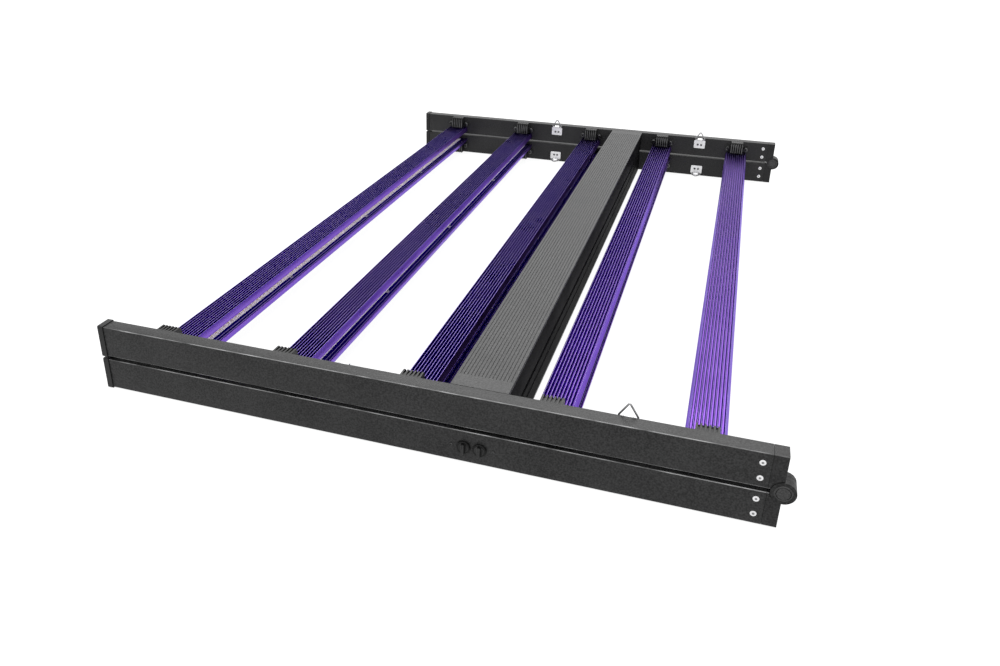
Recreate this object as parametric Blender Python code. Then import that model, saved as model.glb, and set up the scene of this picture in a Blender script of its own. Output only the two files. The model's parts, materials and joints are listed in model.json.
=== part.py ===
"""Folding LED grow light, shown folded flat.

Two half frames of black rectangular tube are hinged along their right ends. Each half carries five
finned aluminium LED bars, one long driver and four hook plates with wire hanging rings. The lower
front rail also holds the dimmer and its two knobs.

Design axes, in millimetres: x runs along the rails from the free ends to the hinge, y runs from the
front rail to the back rail, z is up with zero midway between the two halves. The pieces are drawn
once, for the upper front corner, and mirrored in y and z for the other corners.
"""
from math import cos, pi, radians, sin

import bmesh
import bpy
from mathutils import Matrix, Vector

for old in list(bpy.data.objects):
    bpy.data.objects.remove(old, do_unlink=True)

MM = 0.001
CLEAR = 0.3             # gap kept between neighbouring pieces

# Frame
LENGTH = 745.0          # outer face of an end cap to the hinge axis
DEPTH = 1097.6          # front face of the front rails to the rear face of the back rails
RAIL_H = 37.3
RAIL_T = 17.6
RAIL_WALL = 1.6
RAIL_EDGE = 1.0         # chamfer along the tube's corners
RAIL_Z = 2.3            # inner face of a half, measured from the middle
RAIL_TOP = RAIL_Z + RAIL_H
CAP_LIP = 7.0           # length of the cap outside the tube
CAP_PROUD = 1.2
PLUG = 14.0

# Hinge
LEAF_X = 731.0          # where the rail stops and the hinge leaf starts
BARREL_R = 11.75
PIN_R = 4.0
PIN_HEAD_R = 8.4
PIN_HEAD_T = 0.9
KNUCKLE = 5.6           # depth of each outer knuckle; the middle one fills the rest

# LED bars
BAR_X = [78.0 + 148.6 * i for i in range(5)]
BAR_LED_Z = 7.8         # height of the LED face
BAR_TOP_Z = 17.5        # tips of the cooling fins
BAR_HALF = 20.4         # half width at the lip
BAR_TOP_HALF = 17.7     # half width at the fin tips
BAR_LIP = 2.4
FINS = 10
FIN_T = 1.3
FIN_ROOT_Z = 11.6
BOARD_W = 14.4
BOARD_T = 1.0
CHANNEL_DEPTH = 1.5

# Bar brackets on the rails' inner faces
TONGUE_W = 22.5
TONGUE_OUT = 15.5
EAR_W = 45.0
EAR_T = 3.0
EAR_Z = (18.4, 30.0)

# Drivers
DRIVER_X = (419.0, 481.0)
DRIVER_WALL = 2.0
LEDGE_Z = 15.7          # underside of the ledge along each side of the case
LEDGE = 0.8
LID_T = 3.4
LID_GROOVES = 15
GROOVE_W = 1.1
GROOVE_DEPTH = 0.8
GROOVE_STOP = 22.0      # plain stretch at each end of the lid

# Hanging hardware
HOOK_X = (300.8, 599.0)
PLATE_W = 22.0
PLATE_T = 1.5
PLATE_Z = (18.6, 35.2)
LOOP_R = 2.6
LOOP_HOLE_R = 1.45
LOOP_L = 9.0
LOOP_Z = 36.6
LOOP_Y = RAIL_T + CLEAR + LOOP_R
WIRE_R = 1.0
RING_BASE = 21.0
RING_H = 16.0
RING_CORNER = 1.4

# Dimmer
KNOB_X = (440.3, 457.4)
KNOB_Z = -21.0
KNOB_R = 7.25
KNOB_DISC = 3.0         # thickness of the disc
KNOB_GRIP = 3.2         # height of the grip on the disc
GRIP_W = 3.4
SHAFT_R = 3.0
DIMMER_X = (422.0, 476.0)

# The row's origin: middle of the outline in x and y, underside of the end caps in z
KNOB_FRONT = -(CLEAR + KNOB_DISC + KNOB_GRIP)
CENTRE = Vector((
    (LENGTH + BARREL_R) / 2,
    (KNOB_FRONT + DEPTH + CAP_PROUD) / 2,
    -(RAIL_TOP + CAP_PROUD),
))


# ---------------------------------------------------------------- materials

def material(name, colour, roughness, metallic):
    mat = bpy.data.materials.new(name)
    mat.use_nodes = True
    mat.diffuse_color = (*colour, 1)
    shader = mat.node_tree.nodes["Principled BSDF"]
    shader.inputs["Base Color"].default_value = (*colour, 1)
    shader.inputs["Roughness"].default_value = roughness
    shader.inputs["Metallic"].default_value = metallic
    return mat


FRAME_BLACK = material("powder_coat_black", (0.040, 0.040, 0.041), 0.55, 0.1)
CAP_BLACK = material("cap_plastic", (0.030, 0.030, 0.031), 0.5, 0.0)
HINGE_BLACK = material("hinge_black", (0.035, 0.035, 0.036), 0.45, 0.4)
PURPLE = material("purple_anodised", (0.235, 0.130, 0.620), 0.35, 0.8)
LED_WHITE = material("led_strip", (0.620, 0.510, 0.620), 0.5, 0.0)
LID_GREY = material("driver_lid_grey", (0.160, 0.160, 0.162), 0.5, 0.5)
CASE_BLACK = material("driver_case_black", (0.028, 0.028, 0.028), 0.5, 0.3)
ZINC = material("zinc_steel", (0.750, 0.750, 0.760), 0.3, 1.0)
KNOB_BLACK = material("knob_black", (0.025, 0.025, 0.026), 0.4, 0.0)
CIRCUIT = material("circuit_board", (0.030, 0.150, 0.060), 0.6, 0.0)


# ---------------------------------------------------------------- solids, in millimetres

def box(lo, hi, bevel=0.0):
    bm = bmesh.new()
    bmesh.ops.create_cube(bm, size=1.0)
    for v in bm.verts:
        v.co = Vector([lo[i] if v.co[i] < 0 else hi[i] for i in range(3)])
    if bevel:
        bmesh.ops.bevel(bm, geom=bm.edges[:], offset=bevel, segments=1, affect="EDGES")
    return bm


def prism(points, axis, start, end):
    """Extrude an outline along one axis. The outline's two coordinates are the other two axes."""
    bm = bmesh.new()
    i = "xyz".index(axis)
    others = [k for k in range(3) if k != i]
    verts = []
    for a, b in points:
        co = [0.0, 0.0, 0.0]
        co[i], co[others[0]], co[others[1]] = start, a, b
        verts.append(bm.verts.new(co))
    face = bm.faces.new(verts)
    grown = bmesh.ops.extrude_face_region(bm, geom=[face])
    moved = [g for g in grown["geom"] if isinstance(g, bmesh.types.BMVert)]
    shift = Vector((0, 0, 0))
    shift[i] = end - start
    bmesh.ops.translate(bm, verts=moved, vec=shift)
    return bm


def rod(axis, centre, radius, start, end, sides=24):
    """A cylinder along one axis, between two coordinates on that axis."""
    step = 2 * pi / sides
    ring = [(centre[0] + radius * cos(step * (k + 0.5)), centre[1] + radius * sin(step * (k + 0.5)))
            for k in range(sides)]
    return prism(ring, axis, start, end)


def chamfered(lo, hi, edge):
    """Outline of a rectangle with its four corners cut."""
    (a0, b0), (a1, b1) = lo, hi
    return [(a0 + edge, b0), (a1 - edge, b0), (a1, b0 + edge), (a1, b1 - edge),
            (a1 - edge, b1), (a0 + edge, b1), (a0, b1 - edge), (a0, b0 + edge)]


def mesh_from(bm, name):
    bmesh.ops.recalc_face_normals(bm, faces=bm.faces[:])
    if bm.calc_volume(signed=True) < 0:
        bmesh.ops.reverse_faces(bm, faces=bm.faces[:])
    mesh = bpy.data.meshes.new(name)
    bm.to_mesh(mesh)
    bm.free()
    return mesh


def combine(base, add=(), cut=()):
    """Union and cut solids with Boolean modifiers and return the result."""
    target = bpy.data.objects.new("target", mesh_from(base, "target"))
    bpy.context.scene.collection.objects.link(target)
    tools = []
    for operation, group in (("UNION", add), ("DIFFERENCE", cut)):
        for shape in group:
            tool = bpy.data.objects.new("tool", mesh_from(shape, "tool"))
            bpy.context.scene.collection.objects.link(tool)
            modifier = target.modifiers.new(operation.title(), "BOOLEAN")
            modifier.operation = operation
            modifier.solver = "EXACT"
            modifier.object = tool
            tools.append(tool)
    result = target.evaluated_get(bpy.context.evaluated_depsgraph_get()).to_mesh()
    bm = bmesh.new()
    bm.from_mesh(result)
    bmesh.ops.dissolve_limit(bm, angle_limit=radians(0.05), verts=bm.verts[:], edges=bm.edges[:])
    for item in [target, *tools]:
        bpy.data.objects.remove(item, do_unlink=True)
    return bm


# ---------------------------------------------------------------- placing pieces

def world(point):
    return (Vector(point) - CENTRE) * MM


def empty(name, point):
    holder = bpy.data.objects.new(name, None)
    holder.location = world(point)
    bpy.context.scene.collection.objects.link(holder)
    return holder


HALVES = {side: empty(side + "_half", (LENGTH, DEPTH / 2, 0)) for side in ("lower", "upper")}


def mirrored(point, side, end):
    x, y, z = point
    return Vector((x, y if end == "front" else DEPTH - y, z if side == "upper" else -z))


def piece(name, bm, mat, origin, side="upper", end="front", smooth=False):
    """Mirror a solid to its corner and hang it on its half. The origin is given in design axes."""
    origin = mirrored(origin, side, end)
    for v in bm.verts:
        v.co = (mirrored(v.co, side, end) - origin) * MM
    mesh = mesh_from(bm, name)
    mesh.materials.append(mat)
    if smooth:
        mesh.shade_smooth()
        mesh.set_sharp_from_angle(angle=radians(35))
    ob = bpy.data.objects.new(name, mesh)
    bpy.context.scene.collection.objects.link(ob)
    ob.parent = HALVES[side]
    ob.location = world(origin) - HALVES[side].location
    return ob


# ---------------------------------------------------------------- frame

def bracket_solids(x):
    """Tongue and screw ears that carry one end of a bar, standing on the rail's inner face."""
    root = RAIL_T - 0.8
    low = EAR_Z[0]
    tongue = [(root, low), (RAIL_T + TONGUE_OUT, low), (RAIL_T + TONGUE_OUT - 1.5, 36.0),
              (RAIL_T + TONGUE_OUT - 3.5, RAIL_TOP - 0.4), (root, RAIL_TOP - 0.4)]
    ears = box((x - EAR_W / 2, root, EAR_Z[0]), (x + EAR_W / 2, RAIL_T + EAR_T, EAR_Z[1]))
    return [ears, prism(tongue, "x", x - TONGUE_W / 2, x + TONGUE_W / 2)]


def rail(side, end):
    outer = chamfered((0, RAIL_Z), (RAIL_T, RAIL_TOP), RAIL_EDGE)
    tube = prism(outer, "x", CAP_LIP + CLEAR, LEAF_X)
    add = [solid for x in BAR_X for solid in bracket_solids(x)]
    w = RAIL_WALL
    cut = [box((0, w, RAIL_Z + w), (LENGTH, RAIL_T - w, RAIL_TOP - w))]
    if (side, end) == ("lower", "front"):
        cut += [rod("y", (x, -KNOB_Z), SHAFT_R + 0.6, -1, RAIL_T / 2, 16) for x in KNOB_X]
    piece(f"{side}_{end}_rail", combine(tube, add, cut), FRAME_BLACK,
          (LENGTH / 2, RAIL_T / 2, RAIL_Z + RAIL_H / 2), side, end)


def end_cap(side, end):
    p, w = CAP_PROUD, RAIL_WALL + CLEAR
    cap = box((0, -p, RAIL_Z - p), (CAP_LIP, RAIL_T + p, RAIL_TOP + p), bevel=1.2)
    plug = box((CAP_LIP - 1, w, RAIL_Z + w), (CAP_LIP + PLUG, RAIL_T - w, RAIL_TOP - w))
    piece(f"{side}_{end}_end_cap", combine(cap, [plug]), CAP_BLACK,
          (CAP_LIP / 2, RAIL_T / 2, RAIL_Z + RAIL_H / 2), side, end)


def knuckles(side, radius, margin=0.0):
    """Barrel slices of one half: the upper half has the two outer ones, the lower the middle one."""
    if side == "upper":
        spans = [(0, KNUCKLE), (RAIL_T - KNUCKLE, RAIL_T)]
    else:
        spans = [(KNUCKLE + CLEAR, RAIL_T - KNUCKLE - CLEAR)]
    grown = [(a - (3 if a == 0 and margin else margin),
              b + (3 if b == RAIL_T and margin else margin)) for a, b in spans]
    return [rod("y", (LENGTH, 0), radius, a, b, 32) for a, b in grown]


def hinge_leaf(side, end):
    w = RAIL_WALL + CLEAR
    outline = chamfered((0, RAIL_Z), (RAIL_T, RAIL_TOP), RAIL_EDGE)
    block = prism(outline, "x", LEAF_X + CLEAR, LENGTH - CLEAR)
    plug = box((LEAF_X - 22, w, RAIL_Z + w), (LEAF_X + 2, RAIL_T - w, RAIL_TOP - w))
    other = "lower" if side == "upper" else "upper"
    cut = knuckles(other, BARREL_R + CLEAR, margin=0.15)
    cut.append(rod("y", (LENGTH, 0), PIN_R + 0.2, -2, RAIL_T + 2, 32))
    leaf = combine(combine(block, [plug, *knuckles(side, BARREL_R)]), cut=cut)
    piece(f"{side}_{end}_hinge_leaf", leaf, HINGE_BLACK,
          (LENGTH, RAIL_T / 2, 0), side, end, smooth=True)


def hinge_pin(end):
    head = CLEAR + PIN_HEAD_T
    shaft = rod("y", (LENGTH, 0), PIN_R, -head, RAIL_T + head, 32)
    heads = [rod("y", (LENGTH, 0), PIN_HEAD_R, a, a + PIN_HEAD_T, 32) for a in (-head, RAIL_T + CLEAR)]
    piece(f"{end}_hinge_pin", combine(shaft, heads), HINGE_BLACK,
          (LENGTH, RAIL_T / 2, 0), "lower", end, smooth=True)


# ---------------------------------------------------------------- bars

def bar_outline(x):
    """Section of a bar: cooling fins above, lips at the sides, a channel for the LED strip below."""
    channel = BOARD_W / 2 + 0.2
    points = [(-channel, BAR_LED_Z), (-channel, BAR_LED_Z + CHANNEL_DEPTH),
              (channel, BAR_LED_Z + CHANNEL_DEPTH), (channel, BAR_LED_Z),
              (BAR_HALF, BAR_LED_Z), (BAR_HALF, BAR_LED_Z + BAR_LIP)]
    pitch = (2 * BAR_TOP_HALF - FIN_T) / (FINS - 1)
    tops = []
    for i in range(FINS):
        centre = -BAR_TOP_HALF + FIN_T / 2 + pitch * i
        tops.append((centre - FIN_T / 2, centre + FIN_T / 2))
    for i, (left, right) in reversed(list(enumerate(tops))):
        if i < FINS - 1:
            points.append((right, FIN_ROOT_Z))
        points += [(right, BAR_TOP_Z), (left, BAR_TOP_Z)]
        if i > 0:
            points.append((left, FIN_ROOT_Z))
    points += [(-BAR_HALF, BAR_LED_Z + BAR_LIP), (-BAR_HALF, BAR_LED_Z)]
    return [(x + a, z) for a, z in points]


def led_bar(side, number, x):
    span = (RAIL_T + CLEAR, DEPTH - RAIL_T - CLEAR)
    middle = (x, DEPTH / 2, BAR_LED_Z)
    bar = prism([(a, z) for a, z in bar_outline(x)], "y", *span)
    piece(f"{side}_bar_{number}", bar, PURPLE, middle, side)
    board_z = BAR_LED_Z + 0.25
    board = box((x - BOARD_W / 2, span[0] + 10, board_z),
                (x + BOARD_W / 2, span[1] - 10, board_z + BOARD_T))
    piece(f"{side}_led_strip_{number}", board, LED_WHITE, middle, side)


# ---------------------------------------------------------------- drivers and dimmer

def driver(side):
    x0, x1 = DRIVER_X
    y0, y1 = RAIL_T + CLEAR, DEPTH - RAIL_T - CLEAR
    lid_z = RAIL_TOP - LID_T
    w = DRIVER_WALL
    middle = ((x0 + x1) / 2, DEPTH / 2, RAIL_TOP)
    bottom, rim = RAIL_Z + CLEAR, lid_z - CLEAR
    side_x, ledge_x = (x0 + LEDGE, x1 - LEDGE), (x0, x1)
    section = [(side_x[0], bottom), (side_x[1], bottom), (side_x[1], LEDGE_Z), (ledge_x[1], LEDGE_Z),
               (ledge_x[1], rim), (ledge_x[0], rim), (ledge_x[0], LEDGE_Z), (side_x[0], LEDGE_Z)]
    shell = prism(section, "y", y0, y1)
    hollow = box((x0 + w, y0 + w, RAIL_Z + CLEAR + w), (x1 - w, y1 - w, RAIL_TOP))
    piece(f"{side}_driver_case", combine(shell, cut=[hollow]), CASE_BLACK, middle, side)

    pitch = (x1 - x0) / (LID_GROOVES + 1)
    grooves = []
    for i in range(LID_GROOVES):
        groove = x0 + pitch * (i + 1)
        grooves.append(box((groove - GROOVE_W / 2, y0 + GROOVE_STOP, RAIL_TOP - GROOVE_DEPTH),
                           (groove + GROOVE_W / 2, y1 - GROOVE_STOP, RAIL_TOP + 1)))
    lid = combine(box((x0, y0, lid_z), (x1, y1, RAIL_TOP)), cut=grooves)
    piece(f"{side}_driver_lid", lid, LID_GREY, middle, side)

    floor = RAIL_Z + CLEAR + w + CLEAR
    card = box((x0 + 5, y0 + 40, floor), (x1 - 5, y1 - 40, floor + 1.6))
    blocks = []
    for i in range(8):
        y = y0 + 110 + 110 * i
        tall = 20.0 if i % 2 else 13.0
        blocks.append(box((x0 + 12, y, floor + 0.8), (x1 - 12, y + 45, floor + tall)))
    piece(f"{side}_driver_board", combine(card, blocks), CIRCUIT, middle, side)


def dimmer():
    w = RAIL_WALL + CLEAR
    z = -KNOB_Z
    body = box((DIMMER_X[0], w, z - 11), (DIMMER_X[1], RAIL_T - w, z + 11))
    sockets = [rod("y", (x, z), SHAFT_R + CLEAR, 0, 9, 16) for x in KNOB_X]
    piece("dimmer_module", combine(body, cut=sockets), CIRCUIT,
          (sum(DIMMER_X) / 2, RAIL_T / 2, z), "lower")
    for name, x in zip(("left", "right"), KNOB_X):
        back = -CLEAR
        disc = rod("y", (x, z), KNOB_R, back - KNOB_DISC, back, 32)
        grip = box((x - GRIP_W / 2, KNOB_FRONT, z - 6.2), (x + GRIP_W / 2, back - 2, z + 6.2), bevel=0.5)
        shaft = rod("y", (x, z), SHAFT_R, back - 2, 8.0, 16)
        piece(f"dimmer_knob_{name}", combine(disc, [grip, shaft]), KNOB_BLACK,
              (x, 0, z), "lower", smooth=True)


# ---------------------------------------------------------------- hanging hardware

def hook_plate(side, end, place, x):
    y0 = RAIL_T + CLEAR
    plate = prism(chamfered((x - PLATE_W / 2, PLATE_Z[0]), (x + PLATE_W / 2, PLATE_Z[1]), 1.8),
                  "y", y0, y0 + PLATE_T)
    loop = rod("x", (LOOP_Y, LOOP_Z), LOOP_R, x - LOOP_L / 2, x + LOOP_L / 2, 16)
    hole = rod("x", (LOOP_Y, LOOP_Z), LOOP_HOLE_R, x - LOOP_L, x + LOOP_L, 16)
    piece(f"{side}_{end}_hook_plate_{place}", combine(plate, [loop], [hole]), ZINC,
          (x, y0, LOOP_Z), side, end, smooth=True)


def ring_path():
    """Rounded triangle with its base on the local x axis, standing up along z."""
    corners = [Vector((-RING_BASE / 2, 0)), Vector((RING_BASE / 2, 0)), Vector((0, RING_H))]
    path = []
    for i, corner in enumerate(corners):
        before = (corners[i - 1] - corner).normalized()
        after = (corners[(i + 1) % 3] - corner).normalized()
        half = before.angle(after) / 2
        reach = RING_CORNER * cos(half) / sin(half)
        centre = corner + (before + after).normalized() * (RING_CORNER / sin(half))
        start, stop = corner + before * reach - centre, corner + after * reach - centre
        for k in range(5):
            blend = start.lerp(stop, k / 4).normalized() * RING_CORNER
            path.append(centre + blend)
    return path


def hanging_ring(side, end, place, x, lean):
    """Wire ring on its hook plate. Lean is its tilt towards the inside of the frame, in degrees."""
    curve = bpy.data.curves.new(f"{side}_{end}_ring_{place}", "CURVE")
    curve.dimensions = "3D"
    path = ring_path()
    spline = curve.splines.new("POLY")
    spline.points.add(len(path) - 1)
    for point, (a, b) in zip(spline.points, path):
        point.co = (a * MM, 0, b * MM, 1)
    spline.use_cyclic_u = True
    curve.bevel_depth = WIRE_R * MM
    curve.bevel_resolution = 1
    curve.materials.append(ZINC)
    ob = bpy.data.objects.new(curve.name, curve)
    bpy.context.scene.collection.objects.link(ob)
    inwards = -1 if end == "front" else 1
    tilt = radians(lean) * inwards if side == "upper" else pi - radians(lean) * inwards
    ob.parent = HALVES[side]
    ob.location = world(mirrored((x, LOOP_Y, LOOP_Z), side, end)) - HALVES[side].location
    ob.rotation_euler = Matrix.Rotation(tilt, 3, "X").to_euler()


# ---------------------------------------------------------------- assembly

RING_LEAN = {
    ("upper", "front", "left"): 165, ("upper", "front", "right"): 0,
    ("upper", "back", "left"): 0, ("upper", "back", "right"): 0,
    ("lower", "front", "left"): 90, ("lower", "front", "right"): 90,
    ("lower", "back", "left"): 90, ("lower", "back", "right"): 90,
}

for side in ("lower", "upper"):
    for end in ("front", "back"):
        rail(side, end)
        end_cap(side, end)
        hinge_leaf(side, end)
        for place, x in zip(("left", "right"), HOOK_X):
            hook_plate(side, end, place, x)
            hanging_ring(side, end, place, x, RING_LEAN[side, end, place])
    for number, x in enumerate(BAR_X, 1):
        led_bar(side, number, x)
    driver(side)
hinge_pin("front")
hinge_pin("back")
dimmer()
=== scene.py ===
"""Looks of the folding LED grow light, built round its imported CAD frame.

Pieces are drawn in millimetres in the CAD source's axes: x along the rails from the free ends to
the hinge, y from the front rail to the back rail, z up from the middle of the folded pair. A piece
is drawn for the upper front corner and mirrored to the others.
"""

import json
from math import cos, floor, pi, radians, sin

import bmesh
import bpy
from mathutils import Matrix, Vector


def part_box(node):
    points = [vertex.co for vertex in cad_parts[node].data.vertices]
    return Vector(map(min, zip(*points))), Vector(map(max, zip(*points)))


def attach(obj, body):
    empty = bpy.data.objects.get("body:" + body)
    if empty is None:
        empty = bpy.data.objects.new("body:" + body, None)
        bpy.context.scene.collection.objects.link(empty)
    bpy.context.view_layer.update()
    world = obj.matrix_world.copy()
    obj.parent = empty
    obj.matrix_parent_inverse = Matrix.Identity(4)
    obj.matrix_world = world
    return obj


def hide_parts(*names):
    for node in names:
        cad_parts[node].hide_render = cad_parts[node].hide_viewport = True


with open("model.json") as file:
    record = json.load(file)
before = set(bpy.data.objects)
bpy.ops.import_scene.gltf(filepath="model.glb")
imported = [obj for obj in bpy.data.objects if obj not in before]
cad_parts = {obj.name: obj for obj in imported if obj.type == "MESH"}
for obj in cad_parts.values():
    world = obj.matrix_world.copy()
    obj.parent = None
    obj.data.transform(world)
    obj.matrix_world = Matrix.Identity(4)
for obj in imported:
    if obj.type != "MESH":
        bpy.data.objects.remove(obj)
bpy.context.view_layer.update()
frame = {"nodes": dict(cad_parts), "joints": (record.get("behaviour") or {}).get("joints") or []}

MM = 0.001
SIDES = ("lower", "upper")
ENDS = ("front", "back")
PLACES = ("left", "right")
JOINTS = {joint["name"]: joint for joint in frame["joints"]}
ORIGIN = Vector((
    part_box("upper_front_end_cap")[0].x,
    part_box("upper_front_hinge_leaf")[0].y,
    JOINTS["fold"]["pos_m"][2],
))


def span(node):
    """A CAD node's lowest and highest corner, in millimetres."""
    return [(corner - ORIGIN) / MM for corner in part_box(node)]


# ---------------------------------------------------------------- sizes taken from the frame

LEAF_LOW, LEAF_HIGH = span("upper_front_hinge_leaf")
RAIL_LOW, RAIL_HIGH = span("upper_front_rail")
CAP_LOW, CAP_HIGH = span("upper_front_end_cap")
CASE_LOW, CASE_HIGH = span("upper_driver_case")
LID_LOW, LID_HIGH = span("upper_driver_lid")
PLATE_LOW, PLATE_HIGH = span("upper_front_hook_plate_left")
KNOB_LOW, KNOB_HIGH = span("dimmer_knob_left")
PIN_HIGH = span("front_hinge_pin")[1]
BAR_LOW, BAR_HIGH = span("upper_bar_1")
BOARD_LOW, BOARD_HIGH = span("upper_led_strip_1")

RAIL_T = LEAF_HIGH.y
DEPTH = span("upper_back_hinge_leaf")[1].y
HINGE_X = (JOINTS["fold"]["pos_m"][0] - ORIGIN.x) / MM
BAR_X = [sum(corner.x for corner in span(f"upper_bar_{n}")) / 2 for n in range(1, 6)]
HOOK_X = [sum(corner.x for corner in span(f"upper_front_hook_plate_{place}")) / 2 for place in PLACES]

# ---------------------------------------------------------------- sizes of the fine detail, in mm

CLEARANCE = 0.3                     # gap round a plug in its tube, and between hinge pieces
ARC_STEPS = 4                       # straight pieces in a quarter round
BARREL_SIDES = 72                   # sides of round shapes, by kind
DISC_SIDES = 64                     # pin heads and knobs
SMALL_SIDES = 32                    # shafts and plate loops
SCREW_SIDES = 24                    # screw heads, and the holes for the shafts
WIRE_SIDES = 16

RAIL_WALL = 1.6
RAIL_UNDER = RAIL_LOW.z             # underside of an upper rail
RAIL_ROUND = 0.65                   # rounding of a rail's outer edges
RAIL_INNER_ROUND = 0.4
RAIL_RADII = (RAIL_INNER_ROUND, RAIL_INNER_ROUND, RAIL_ROUND, RAIL_ROUND)

BRACKET_W = 22.5
BRACKET_OUT = RAIL_HIGH.y - RAIL_T
BRACKET_Z = (18.4, RAIL_HIGH.z - 0.4)
RIBS = 6
RIB_W = 2.0
RIB_DEPTH = 3.0
RIB_BEND_Z = 36.0                   # where the front of a rib bends back
RIB_LEAN = 1.5                      # how far it has leaned back there
RIB_TOP = (3.5, 7.0)                # where its top starts and ends, in from its front
GROOVE_BEND_Z = 34.0
GROOVE_TOP = ((3.3, 2.0), (7.0, 1.8))   # the same in a groove, with the drop below the rib's top
RUB_AND_HIGHLIGHT = 3.0                        # depth of a rib's end that takes worn paint with a painted highlight, in from its front
GROOVE_SHADE_DEPTH = 8.0                        # depth of the painted shade in a groove and on the ribs' sides, in from the front
EAR = (45.0, 3.0, 30.0)             # width, thickness, height of its top
EAR_ROUND = 2.4
BOLT_X = 17.0
BOLT_Z = 24.4

BRACKET_BOLT = (4.6, 3.0, 2.6)      # radius, height and socket radius of each kind of screw head
HINGE_SCREW = (3.0, 0.35, 1.35)
BOARD_SCREW = (2.9, 1.5, 1.2)
PANEL_SCREW = (1.7, 0.8, 0.7)
PLATE_SCREW = (2.3, 0.9, 1.3)

CAP_LIP = 7.0                       # length of an end cap outside its tube
CAP_ROUND = 1.6
CAP_MARGIN = 2.6                    # rim left round the panel in its outer face
CAP_PANEL = 0.5                     # depth of that panel

BARREL_R = LEAF_HIGH.x - HINGE_X
BARREL_GROOVE = 0.7                 # depth of the groove round a barrel's end
KNUCKLE = 5.6
KNUCKLE_PROUD = 0.6
SEAM = 0.5                          # gap round the hinge barrels
RAIL_SEAM = 0.3                     # gap between a rail and its hinge block
HINGE_SCREW_X = 722.9
HINGE_SCREW_Z = (11.8, 28.8)
PIN_R = 4.0
PIN_HEAD_R = 8.4
PIN_RING = (1.5, 1.9, 2.3)          # start, bottom and end of the ring in a pin's head, in from its edge

FINS = 10
FIN_TIP = 0.5                       # half thickness at the tip
FIN_ROOT = 0.8
FIN_ROOT_Z = BAR_LOW.z + 3.8
FIN_FILLET = (0.3, 0.4)             # width and height of the slope at a fin's root
TOP_HALF = 17.7                     # half width across the outer fins
CHANNEL_Z = BOARD_HIGH.z + 0.05     # floor of the channel that the LED board lies in
CHANNEL_HALF = 12.4
LIP_X = (13.1, 17.6)                # middles of the two round lips beside the channel
LIP_R = 0.5
SIDE_GROOVE = (13.8, 16.8)          # flat floor between the lips
LIP_END = 18.3
LED_HALF = 18.2                     # half width of the LED face, for its finish
CORNER_R = 0.6                      # rounding of the bar's lower corners

CHIP = 3.0
CHIP_H = 0.6
CHIP_PITCH = 9.0
CHIP_ROW = 3.4
RED_EVERY = 6
BOARD_BARE = 12                     # least length without chips, both ends together
BOARD_SCREW_X = 9.6
BOARD_SCREW_GAP = 262.0
BOARD_NOTCH_R = 1.9                 # notch in the board's edge at each screw

DRIVER_WALL = 2.0
LEDGE = 0.8
LEDGE_Z = 15.7
LEDGE_EASE = 0.2
CASE_CHAMFER = 0.5
PLATE_GAP = 0.05                    # gap between the case's end plates and its walls
LID_SMOOTH = 22.0                   # plain stretch at each end of the lid
LID_GROOVES = 15
LID_ROUND = 0.6
GROOVE_HALF = 0.4
GROOVE_DEPTH = 0.7
GROOVE_LIP = 0.15                   # slope along a groove's upper edge
GROOVE_FLOOR = 0.6                  # width of its floor, as a share of its width
GROOVE_END = 0.6                    # length of the slope at its ends

KNOB_R = 7.25
KNOB_BACK = -0.3
KNOB_RIM = 1.9                      # width of the rim round its face that takes painted shade
KNOB_DISH = 0.35                    # depth of the face and of the mark in the grip
KNOB_Z = 21.0
SHAFT_R = 3.0
GRIP_W = 3.4
GRIP_UP = 3.2                       # height of the grip above the disc
MARK_HALF = 0.4
PANEL_SCREW_AWAY = (13.6, 14.1)     # from the left and the right knob to the screw beside it

PLATE_T = 1.5
PLATE_TOP_Z = 35.2
PLATE_ROUND = 2.0
PANEL_MARGIN = 3.0                  # rim round the sunk panel of a hook plate, and above it
PANEL_TOP = 4.5
PANEL_DEPTH = 0.4
PLATE_SCREW_X = 3.4
PLATE_SCREW_Z = 25.6
LOOP_R = 2.6
LOOP_HOLE = 1.45
LOOP_HALF = 4.5
WIRE_R = 1.0
RING_BASE = 21.0
RING_H = 16.0
RING_CORNER = 1.4
RING_STEPS = 8                      # straight pieces in a ring's corner

# ---------------------------------------------------------------- studio

OVERHEAD = 2.1                      # brightness of the room straight up
EYE_LEVEL = 1.0                     # and from level down
FLOOR_GLOW = 0.9
FLOOR_TINTS = ((0.14, 0.14, 0.142), (0.16, 0.16, 0.16))
FLOOR_R = 12.0
FLOOR_Z = -0.0002
LAMPS = [                           # name, place in metres, size, watts
    ("key", (-0.2, 1.6, 2.4), 2.4, 70),
]
CAMERA_LENS = 30.219
CAMERA_SENSOR = 36.0
CAMERA_SHIFT = (0.04415, -0.06257)
CAMERA_PLACE = (0.27446, -1.22134, 0.53558)
CAMERA_TURN = (65.755, -0.488, 18.486)  # degrees about x, y and z


def knob_x(place):
    """Where a knob's axis is along the rail."""
    return (JOINTS[f"dimmer_knob_{place}_turn"]["pos_m"][0] - ORIGIN.x) / MM


def loop_centre():
    """Where a hook plate's loop runs: y and z of the ring's own axis."""
    pivot = (Vector(JOINTS["upper_front_ring_left_swing"]["pos_m"]) - ORIGIN) / MM
    return pivot.y, pivot.z


# ---------------------------------------------------------------- finishes

COAT_GLOSS = 0.22                   # specular level of paint and plastic
PALE_GRAZING = (0.9, 0.85, 1.0)     # tint at a flat angle of the thin anodising and of the painted shade on the fin flanks
SHADE_GRAZING = (0.42, 0.26, 0.92)


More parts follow.
